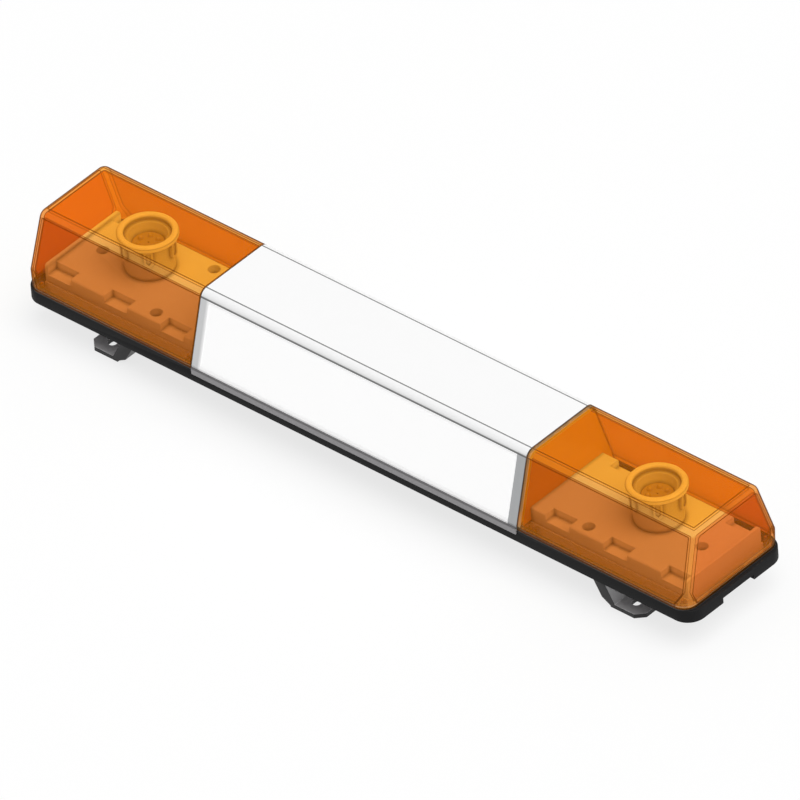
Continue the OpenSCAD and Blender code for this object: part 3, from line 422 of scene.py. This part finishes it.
# %% Share of the plastic's own body
BODY_SHARE, GLANCE_SHARE, RIM_HIGHLIGHT_SHARE, INNER_SHARE, FOOT_SHARE = 0.12, 0.4, 0.14, 0.75, 0.16
GLANCE_POWER, FOOT_FROM, FOOT_TO = 4.0, lens_lo.z + 24 * MM, lens_lo.z + 8 * MM
LAMP_TINT = (1.0, 0.97, 0.90, 1)
share = math_node(tree, "MULTIPLY", math_node(tree, "POWER", facing, GLANCE_POWER), GLANCE_SHARE)
foot_depth = ramp(tree, spot["Z"], FOOT_FROM, FOOT_TO)
for mask, part in ((rim, RIM_HIGHLIGHT_SHARE), (inner_wall, INNER_SHARE), (foot_depth, FOOT_SHARE)):
    share = math_node(tree, "ADD", share, math_node(tree, "MULTIPLY", mask, part))
share = math_node(tree, "ADD", without(tree, share, dark), BODY_SHARE, clamp=True)
wall_mix = add(tree, "ShaderNodeMixShader", {0: share, 1: through.outputs[0], 2: plastic.outputs[0]})
path = add(tree, "ShaderNodeLightPath").outputs
lamp_ray = math_node(tree, "MAXIMUM", path["Is Shadow Ray"], path["Is Diffuse Ray"])
clear = add(tree, "ShaderNodeBsdfTransparent", {"Color": LAMP_TINT})
mix = add(tree, "ShaderNodeMixShader", {0: lamp_ray, 1: wall_mix.outputs[0], 2: clear.outputs[0]})
tree.links.new(mix.outputs[0], tree.nodes["Material Output"].inputs["Surface"])
FINISHES["lens_amber"] = amber
print("amber:", len(tree.nodes), "nodes")

# %% [markdown]
# ## Finishes that change over a part
#
# A mounting foot is a dark painted casting. Its broad faces, those that look up or outwards, carry painted
# light: they are painted pale, as if lit from the right and above. The blank sheets of the sign and the sides
# of its white cover carry a faint painted glow, so that they read white. Beside each end of a sheet the cover
# is grey as painted shade, paler on the left, and so is the lower part of its long rounds; a thin dark line
# follows those rounds. The strip under it is darker along its top.

# %% Foot
BROAD_FACE, LEVEL_FACE = (0.35, 0.48), (0.80, 0.95)
BROAD_PAINTED_LIGHT, LEVEL_PAINTED_LIGHT = (0.95, 0.94, 0.95, 1), (0.62, 0.60, 0.61, 1)
foot_tree = FINISHES["foot_grey"].node_tree
paint = foot_tree.nodes["Principled BSDF"]
up = axis_of(foot_tree, surface_normal(foot_tree), "Z")
# Painted light: faces that look up or outwards are painted pale, as if lit from the right and above.
painted_light_colour = blend(foot_tree, ramp(foot_tree, up, *LEVEL_FACE), BROAD_PAINTED_LIGHT, LEVEL_PAINTED_LIGHT)
foot_with_painted_light = blend(foot_tree, ramp(foot_tree, up, *BROAD_FACE), colour_so_far(paint), painted_light_colour)
foot_tree.links.new(foot_with_painted_light, paint.inputs["Base Color"])
print("foot:", len(foot_tree.nodes), "nodes")

# %% Cover of the sign
SIDE_PAINTED_SHADE, LINE_GREY = (0.50, 0.51, 0.52, 1), (0.16, 0.16, 0.16, 1)
LEFT_SHADE, LEFT_FADE, ROUND_SHADE = 0.66, 6 * MM, 0.8
SIDE_TOP, SIDE_PAINTED_GLOW = 0.45, 0.2
cover_tree = FINISHES["cover_white"].node_tree
opal = cover_tree.nodes["Principled BSDF"]
cover_shape = group_node(cover_tree, edge_group, {"Normal": surface_normal(cover_tree)}).outputs
along_cover = axis_of(cover_tree, place_on_object(cover_tree), "X")
panel_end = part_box("front_panel")[1].x
# Painted shade: grey beside each end of a sheet, paler on the left, and on the lower part of the long rounds.
right_strip = math_node(cover_tree, "GREATER_THAN", along_cover, panel_end)
left_strip = ramp(cover_tree, along_cover, -panel_end, -panel_end - LEFT_FADE, LEFT_SHADE)
beside = math_node(cover_tree, "MAXIMUM", right_strip, left_strip)
on_round = math_node(cover_tree, "MULTIPLY", cover_shape["Round"], ROUND_SHADE)
turned_down = ramp(cover_tree, cover_shape["Top"], SIDE_TOP, 0.0)
shaded = math_node(cover_tree, "MULTIPLY", turned_down, math_node(cover_tree, "MAXIMUM", beside, on_round))
sides_with_painted_shade = blend(cover_tree, shaded, colour_so_far(opal), SIDE_PAINTED_SHADE)
cover_tree.links.new(blend(cover_tree, cover_shape["Line"], sides_with_painted_shade, LINE_GREY), opal.inputs["Base Color"])
# Painted light: elsewhere the cover's sides glow faintly, so that they read white.
marked = math_node(cover_tree, "MAXIMUM", shaded, cover_shape["Line"])
painted_glow_side = math_node(cover_tree, "SUBTRACT", turned_down, marked, clamp=True)
cover_tree.links.new(painted_glow_side, opal.inputs["Emission Color"])
opal.inputs["Emission Strength"].default_value = SIDE_PAINTED_GLOW
print("cover:", len(cover_tree.nodes), "nodes; sheets end at", round(panel_end, 4))

# %% Strip and sheets
STRIP_SHADE, SHADE_FROM, SHADE_TO = (0.12, 0.115, 0.12, 1), 3.0 * MM, 1.2 * MM
WHITE, SHEET_PAINTED_GLOW = (1, 1, 1, 1), 0.3
skirt_tree = FINISHES["skirt_grey"].node_tree
skirt_paint = skirt_tree.nodes["Principled BSDF"]
skirt_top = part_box("front_skirt")[1].z
up_skirt = axis_of(skirt_tree, place_on_object(skirt_tree), "Z")
by_top = ramp(skirt_tree, up_skirt, skirt_top - SHADE_FROM, skirt_top - SHADE_TO)
strip_colour = blend(skirt_tree, by_top, colour_so_far(skirt_paint), STRIP_SHADE)
skirt_tree.links.new(strip_colour, skirt_paint.inputs["Base Color"])
# Painted light: the blank sheets glow faintly, so that they read white.
sheet = FINISHES["panel_white"].node_tree.nodes["Principled BSDF"]
sheet.inputs["Emission Color"].default_value = WHITE
sheet.inputs["Emission Strength"].default_value = SHEET_PAINTED_GLOW
print("strip:", len(skirt_tree.nodes), "nodes")

# %% [markdown]
# ## Dressing the measured solids
#
# The record names a material slot for each measured solid, so one loop dresses them all. The solids that
# a new piece replaces further down get a finish too, so that none is ever bare.

# %% Every measured node gets its finish
SLOT_OF = {part["node"]: part["material_slot"] for part in frame["record"]["subparts"]}
for name, node in NODES.items():
    if not node.material_slots:
        node.data.materials.append(None)
    for slot in node.material_slots:
        slot.material = FINISHES[SLOT_OF[name]]
print("dressed:", len(SLOT_OF))

# %% [markdown]
# ## Helpers for meshes
#
# A piece is shaped as a bmesh and then becomes an object at the origin. Faces that meet at a small angle are
# shaded as one curve, and a weighted normal keeps the flat faces beside a fillet flat.


# %% Mesh helpers
SOFT_STEPS = 2


def make_piece(name, bm, slot, body="bar", smooth=32, bevel=0.0, replaces=()):
    """Turns a bmesh into a piece of the bar, with its finish, its soft edges and its body."""
    mesh = bpy.data.meshes.new(name)
    bm.to_mesh(mesh)
    bm.free()
    mesh.polygons.foreach_set("use_smooth", [True] * len(mesh.polygons))
    mesh.set_sharp_from_angle(angle=math.radians(smooth))
    mesh.materials.append(FINISHES[slot])
    piece = bpy.data.objects.new(name, mesh)
    bpy.context.scene.collection.objects.link(piece)
    if bevel:
        soft = piece.modifiers.new("soft_edges", "BEVEL")
        soft.width, soft.segments, soft.limit_method = bevel, SOFT_STEPS, "ANGLE"
        soft.angle_limit, soft.harden_normals = math.radians(smooth), True
    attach(piece, body)
    if replaces:
        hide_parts(*replaces)
    return piece


def level_with(bm, z, near=0.6 * MM):
    return [v for v in bm.verts if abs(v.co.z - z) < near]


def round_off(bm, edges, offset, segments):
    bmesh.ops.bevel(bm, geom=edges, offset=offset, offset_type="OFFSET", segments=segments, profile=0.5,
                    affect="EDGES", clamp_overlap=True, material=-1)


# %% [markdown]
# ## The lenses
#
# A lens is a box with leaning walls, one open side and round edges. A cube gives the box, two cuts give
# it the levels where its walls change, and scaling each level leans the sides. The long top edges are
# rounded first. The rim of the outer end follows as one chain, so that the round runs up one corner,
# across the top and down the other. At the foot the corners are much rounder: a fillet's arc grows when
# it is scaled about its sharp corner, so the two lowest levels are simply scaled.

# %% A box with leaning walls
KINK = 27 * MM
z_corner = lens_lo.z + KINK
lens_middle = (lens_hi + lens_lo) / 2


def leaning_box():
    """A box of the lens's size, open at its foot, whose walls lean above their upright band."""
    bm = bmesh.new()
    bmesh.ops.create_cube(bm, size=1.0)
    bmesh.ops.scale(bm, vec=lens_hi - lens_lo, verts=bm.verts)
    bmesh.ops.translate(bm, vec=lens_middle, verts=bm.verts)
    for z in (z_band, z_corner):
        geometry = bm.verts[:] + bm.edges[:] + bm.faces[:]
        bmesh.ops.bisect_plane(bm, geom=geometry, plane_co=(0, 0, z), plane_no=(0, 0, 1))
    for z in (z_corner, lens_hi.z):
        rise = z - z_band
        ring = level_with(bm, z)
        bmesh.ops.scale(bm, vec=(1, 1 - side_run * rise / foot_half, 1), verts=ring)
        outer = [v for v in ring if v.co.x > lens_middle.x]
        bmesh.ops.translate(bm, vec=(-END_LEAN * rise / (lens_hi.z - z_band), 0, 0), verts=outer)
    bmesh.ops.delete(bm, geom=[f for f in bm.faces if f.normal.z < -SQUARE_ON], context="FACES")
    return bm


# %% Its round edges
TOP_ROUND, EDGE_ROUND, FOOT_ROUND = 14 * MM, 10.4 * MM, 23 * MM
TOP_STEPS, EDGE_STEPS = 9, 10
LONG_EDGE, ASLANT = 0.1, 0.5
LEVEL_SLACK, ARC_SLACK = 1.6 * MM, 0.3 * MM


def round_rims(bm):
    """Rounds the two long top edges, and then the rim of the outer end as one chain."""
    highest = [e for e in bm.edges if all(v.co.z > lens_hi.z - MM for v in e.verts)]
    top = [e for e in highest if abs((e.verts[0].co - e.verts[1].co).x) > LONG_EDGE]
    turn_angle = math.pi / 2 - math.atan(side_run)
    round_off(bm, top, TOP_ROUND * math.tan(turn_angle / 2), TOP_STEPS)
    bm.normal_update()
    rim = [e for e in bm.edges if len(e.link_faces) == 2 and min(v.co.x for v in e.verts) > lens_middle.x
           and max(f.normal.x for f in e.link_faces) > SQUARE_ON
           and min(f.normal.x for f in e.link_faces) < ASLANT]
    round_off(bm, rim, EDGE_ROUND, EDGE_STEPS)


def widen_foot_corners(bm):
    """Scales the arcs at the two lowest levels about their sharp corners, up to the foot's wide round."""
    grow, reach = FOOT_ROUND / EDGE_ROUND, EDGE_ROUND + ARC_SLACK
    for z in (lens_lo.z, z_band):
        for front_or_rear in (-1, 1):
            sharp = Vector((lens_hi.x, front_or_rear * foot_half, z))
            arc = [v for v in level_with(bm, z, LEVEL_SLACK) if (v.co.xy - sharp.xy).length < reach]
            bmesh.ops.scale(bm, vec=(1, 1, 0), verts=arc, space=Matrix.Translation(-sharp))
            bmesh.ops.scale(bm, vec=(grow, grow, 1), verts=arc, space=Matrix.Translation(-sharp))


# %% Both lenses
WALL = 5.5 * MM


def lens_shell(side):
    """The outer skin of a lens. side is 1 for the right lens and -1 for the left one."""
    bm = leaning_box()
    round_rims(bm)
    widen_foot_corners(bm)
    bmesh.ops.scale(bm, vec=(side, 1, 1), verts=bm.verts)
    bmesh.ops.recalc_face_normals(bm, faces=bm.faces)
    return bm


for side, word in ((1, "right"), (-1, "left")):
    lens = make_piece("amber_lens_" + word, lens_shell(side), "lens_amber",
                      smooth=12, replaces=["lens_" + word])
    wall = lens.modifiers.new("wall", "SOLIDIFY")
    wall.thickness, wall.offset, wall.use_even_offset = WALL, -1, True
    flat = lens.modifiers.new("flat_faces", "WEIGHTED_NORMAL")
    flat.keep_sharp = True
    print(lens.name, len(lens.data.vertices), "vertices")

# %% [markdown]
# ## Mouldings and castings with real edges
#
# The measured solids are right in size, and their edges are mathematically sharp. A real moulding never
# is: a narrow round catches the light along every edge. Each solid below is copied and its facets are merged
# into whole faces; most have their edges rounded by their own width, while the lamp rings and the centre
# cover keep theirs. The lamp decks get two more rounds first: a wide one along their two long edges, and one
# at both ends of their raised lip.


# %% Soft copies
LEVEL = 0.05 * MM
BODY_OF = {node: body for body, group in frame["record"]["behaviour"]["bodies"].items() for node in group}


def merged_copy(name):
    """The measured faces of a node as a clean bmesh: corners merged and flat faces whole."""
    bm = bmesh.new()
    bm.from_mesh(NODES[name].data)
    bmesh.ops.remove_doubles(bm, verts=bm.verts, dist=0.01 * MM)
    bmesh.ops.dissolve_limit(bm, angle_limit=math.radians(0.3), verts=bm.verts, edges=bm.edges)
    return bm


def reach_at(bm, z):
    """How far the corners at height z stand from the middle across the bar."""
    return max(abs(v.co.y) for v in bm.verts if abs(v.co.z - z) < LEVEL)


def long_edges(bm, z):
    """The outermost edges along the bar at height z."""
    reach = reach_at(bm, z)
    found = []
    for e in bm.edges:
        a, b = (v.co for v in e.verts)
        off = max(abs(a.z - z), abs(b.z - z), abs(abs(a.y) - reach), abs(abs(b.y) - reach))
        if off < LEVEL and abs(a.x - b.x) > MM:
            found.append(e)
    return found


# %% Decks
DECK_ROUND, LIP_ROUND, DECK_EDGE = 3.3 * MM, 5 * MM, 0.5 * MM
DECK_STEPS, LIP_STEPS, BROAD_AREA = 5, 6, 0.001
for word in ("left", "right"):
    deck_name = "deck_" + word
    deck = merged_copy(deck_name)
    broad_tops = [f for f in deck.faces if f.normal.z > 0.99 and f.calc_area() > BROAD_AREA]
    edge_run = long_edges(deck, max(f.calc_center_median().z for f in broad_tops))
    round_off(deck, edge_run, DECK_ROUND, DECK_STEPS)
    round_off(deck, long_edges(deck, max(v.co.z for v in deck.verts)), LIP_ROUND, LIP_STEPS)
    make_piece("soft_" + deck_name, deck, SLOT_OF[deck_name], bevel=DECK_EDGE, replaces=[deck_name])
    print(deck_name, "long edges rounded:", len(edge_run))

# %% Lamps, feet and sign
PAIRED = {"foot": 0.9, "foot_pad": 0.5, "lamp_clips": 0.35, "lamp_cup": 0.3, "lamp_ring": 0.0}
SINGLE = {"front_skirt": 0.6, "rear_skirt": 0.6, "front_panel": 0.3, "rear_panel": 0.3}


def soften(name, bevel, smooth=32):
    return make_piece("soft_" + name, merged_copy(name), SLOT_OF[name], BODY_OF[name], smooth, bevel, [name])


for base_name, width in PAIRED.items():
    for word in ("left", "right"):
        soften(base_name + "_" + word, width * MM)
for name, width in SINGLE.items():
    soften(name, width * MM)
soften("centre_cover", 0.0, smooth=20).modifiers.new("flat_faces", "WEIGHTED_NORMAL").keep_sharp = True
print("softened:", 2 * len(PAIRED) + len(SINGLE) + 1)

# %% [markdown]
# ## The outer edges of the base
#
# The base is three lengths that meet without a gap, so only its outline is rounded: the two rings of
# edges that run round it at its top and its foot. An edge belongs to them when one of its faces looks
# outwards and the other looks straight up or down.

# %% Base outline
BASE_CORNER, BASE_ROUND, ON_LINE = 27 * MM, 1.2 * MM, 0.15 * MM
BASE_STEPS, UPRIGHT = 3, 0.1
base_half = Vector((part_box("base_front")[1].x, -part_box("base_front")[0].y))


def on_outline(point):
    """True where a point lies on the base's outline as seen from above."""
    inset = Vector((abs(point.x), abs(point.y))) - base_half + Vector((BASE_CORNER, BASE_CORNER))
    reach = Vector((max(inset.x, 0.0), max(inset.y, 0.0))).length
    return abs(reach - BASE_CORNER) < ON_LINE


for name in ("base_front", "base_rear"):
    base = merged_copy(name)
    outline_edges = []
    for e in base.edges:
        steep = sorted(abs(f.normal.z) for f in e.link_faces)
        turns_over = len(steep) == 2 and steep[0] < UPRIGHT and steep[1] > SQUARE_ON
        if turns_over and all(on_outline(v.co) for v in e.verts):
            outline_edges.append(e)
    round_off(base, outline_edges, BASE_ROUND, BASE_STEPS)
    make_piece("soft_" + name, base, SLOT_OF[name], replaces=[name])
    print(name, "outline edges rounded:", len(outline_edges))

# %% [markdown]
# ## The studio
#
# A wide pale floor, an even sky, one soft sun from the right and above, and a weak low one from the
# right. The floor is white where the camera meets it, yet it bounces only a pale grey light on the bar.
# It keeps the bar's shadow, made faint.

# %% Floor
FLOOR_RADIUS, FLOOR_DROP = 30.0, 0.5 * MM
floor_bm = bmesh.new()
bmesh.ops.create_circle(floor_bm, cap_ends=True, segments=64, radius=FLOOR_RADIUS)
bmesh.ops.translate(floor_bm, vec=(0, 0, -FLOOR_DROP), verts=floor_bm.verts)
floor_mesh = bpy.data.meshes.new("floor")
floor_bm.to_mesh(floor_mesh)
floor_bm.free()
floor = bpy.data.objects.new("floor", floor_mesh)
bpy.context.scene.collection.objects.link(floor)
print("floor:", floor.name)

# %% Paint of the floor
PAPER_GREY, PAPER_GLOW = (0.72, 0.72, 0.72, 1), 0.76


def seen_straight(tree):
    """1 for rays that show the studio itself: the camera's own, mirrored ones and those through glass."""
    path = add(tree, "ShaderNodeLightPath").outputs
    mirrored = math_node(tree, "MAXIMUM", path["Is Glossy Ray"], path["Is Transmission Ray"])
    return math_node(tree, "MAXIMUM", path["Is Camera Ray"], mirrored)


paper = bpy.data.materials.new("floor_paint")
paper.use_nodes = True
paper_tree = paper.node_tree
dull = paper_tree.nodes["Principled BSDF"]
dull.inputs["Roughness"].default_value = 0.9
dull.inputs["Specular IOR Level"].default_value = 0.0
straight = seen_straight(paper_tree)
paper_tree.links.new(blend(paper_tree, straight, PAPER_GREY, WHITE), dull.inputs["Base Color"])
glow = add(paper_tree, "ShaderNodeEmission", {"Color": WHITE, "Strength": 1.0})
faint = math_node(paper_tree, "MULTIPLY", straight, PAPER_GLOW)
paper_mix = add(paper_tree, "ShaderNodeMixShader", {0: faint, 1: dull.outputs[0], 2: glow.outputs[0]})
paper_tree.links.new(paper_mix.outputs[0], paper_tree.nodes["Material Output"].inputs["Surface"])
floor_mesh.materials.append(paper)
print("floor paint:", len(paper_tree.nodes), "nodes")

# %% Sky and suns
SKY = 0.42
world = bpy.data.worlds.new("studio")
bpy.context.scene.world = world
world.use_nodes = True
backdrop = world.node_tree.nodes["Background"]
backdrop.inputs["Color"].default_value = WHITE
strength = add(world.node_tree, "ShaderNodeMix", {0: seen_straight(world.node_tree), 2: SKY, 3: 1.0})
world.node_tree.links.new(strength.outputs[0], backdrop.inputs["Strength"])


def soft_sun(name, energy, spread, towards):
    """A sun whose disc is spread degrees wide. towards points from the bar to the sun."""
    sun = bpy.data.objects.new(name, bpy.data.lights.new(name, "SUN"))
    sun.data.energy, sun.data.angle = energy, math.radians(spread)
    sun.rotation_euler = Vector(towards).to_track_quat("Z", "Y").to_euler()
    bpy.context.scene.collection.objects.link(sun)
    return sun


suns = [
    soft_sun("sun", energy=1.9, spread=60, towards=(0.4, 0.0, 0.92)),
    soft_sun("fill", energy=0.12, spread=30, towards=(1.0, 0.0, 0.3)),
]
bpy.context.scene.view_settings.view_transform = "Standard"
print("suns:", [sun.name for sun in suns])
